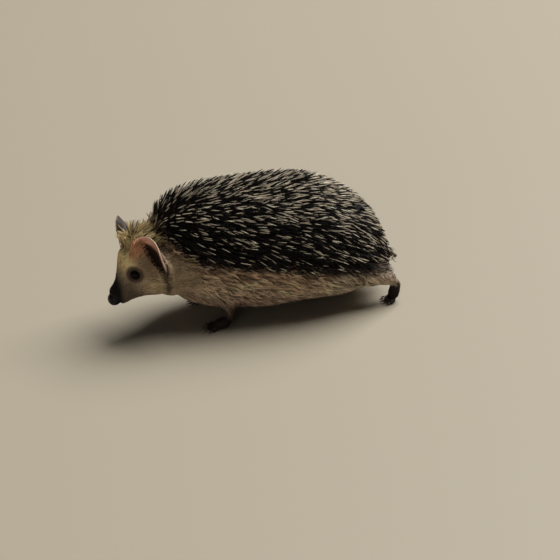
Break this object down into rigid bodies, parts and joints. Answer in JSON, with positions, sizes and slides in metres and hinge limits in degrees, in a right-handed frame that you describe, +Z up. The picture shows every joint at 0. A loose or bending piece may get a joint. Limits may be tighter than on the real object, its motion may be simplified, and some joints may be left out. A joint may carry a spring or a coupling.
{
  "type": "long-eared hedgehog",
  "caption": "Walking hedgehog, nose lowered, with a domed spiny back, furred flanks and face, large cupped ears, pointed snout and small dark clawed feet.",
  "frame": {"origin": "on the floor, under the middle of the animal's bounding box", "axes": "+Z up; the head points to -X and the tail to +X; the animal's left side is at -Y"},
  "size_m": [0.203, 0.086, 0.0975],
  "materials": {
    "spines": "stiff glossy-matt spines, near black with pale cream bands and tips",
    "body_fur": "soft buff to tan fur, lying back and down",
    "face_fur": "short cream-tan fur with a dark bridge to the nose",
    "leg_fur": "short fur, darker towards the feet",
    "ear_skin": "thin bare skin, pinkish brown with a pale rim",
    "foot_skin": "dark brown skin under very short fur",
    "nose_skin": "moist, finely grained black skin",
    "eye": "wet, glossy black",
    "claw": "smooth dark horn"
  },
  "bodies": {
    "root": {"spiny_back": "spines", "trunk": "body_fur", "neck": "body_fur", "head": "face_fur", "lower_jaw": "face_fur", "nose": "nose_skin", "eye_left": "eye", "eye_right": "eye", "ear_left": "ear_skin", "ear_right": "ear_skin", "tail": "body_fur", "leg_front_left": "leg_fur", "foot_front_left": "foot_skin", "claw_front_left_1": "claw", "claw_front_left_2": "claw", "claw_front_left_3": "claw", "claw_front_left_4": "claw", "claw_front_left_5": "claw", "leg_front_right": "leg_fur", "foot_front_right": "foot_skin", "claw_front_right_1": "claw", "claw_front_right_2": "claw", "claw_front_right_3": "claw", "claw_front_right_4": "claw", "claw_front_right_5": "claw", "leg_hind_left": "leg_fur", "foot_hind_left": "foot_skin", "claw_hind_left_1": "claw", "claw_hind_left_2": "claw", "claw_hind_left_3": "claw", "claw_hind_left_4": "claw", "claw_hind_left_5": "claw", "leg_hind_right": "leg_fur", "foot_hind_right": "foot_skin", "claw_hind_right_1": "claw", "claw_hind_right_2": "claw", "claw_hind_right_3": "claw", "claw_hind_right_4": "claw", "claw_hind_right_5": "claw"}
  },
  "joints": []
}
